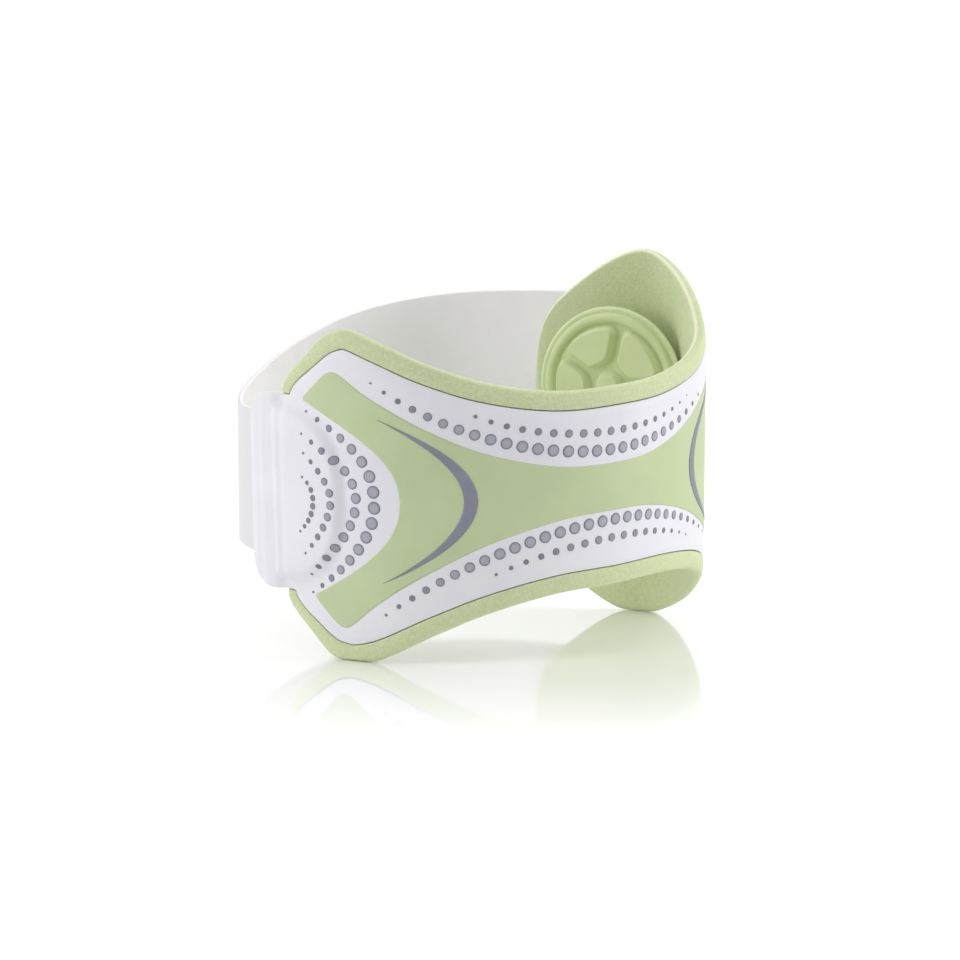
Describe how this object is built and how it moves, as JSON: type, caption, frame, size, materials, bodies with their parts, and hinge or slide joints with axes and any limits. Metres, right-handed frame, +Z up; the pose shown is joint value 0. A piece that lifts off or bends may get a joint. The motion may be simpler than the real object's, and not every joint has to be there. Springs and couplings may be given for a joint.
{
  "type": "elbow strap",
  "caption": "Foam forearm band with a printed cover and a round pressure pad inside, closed into a loop by a brushed hook-and-loop strap; worn below the elbow to press on the forearm muscle.",
  "frame": {"origin": "middle of the footprint of the whole loop, on the plane it stands on", "axes": "+Z up along the forearm, +X along the printed front towards the padded lobe, +Y from the front to the strap at the back"},
  "size_m": [0.107, 0.1034, 0.0865],
  "materials": {
    "foam": "matte knit bonded to foam",
    "cover": "smooth satin",
    "strap": "brushed",
    "hook": "matte",
    "pad": "satin"
  },
  "bodies": {
    "root": {"foam_band": "foam", "cover_panel": "cover", "closure_strap": "strap", "hook_patch": "hook", "pressure_pad": "pad"}
  },
  "joints": []
}
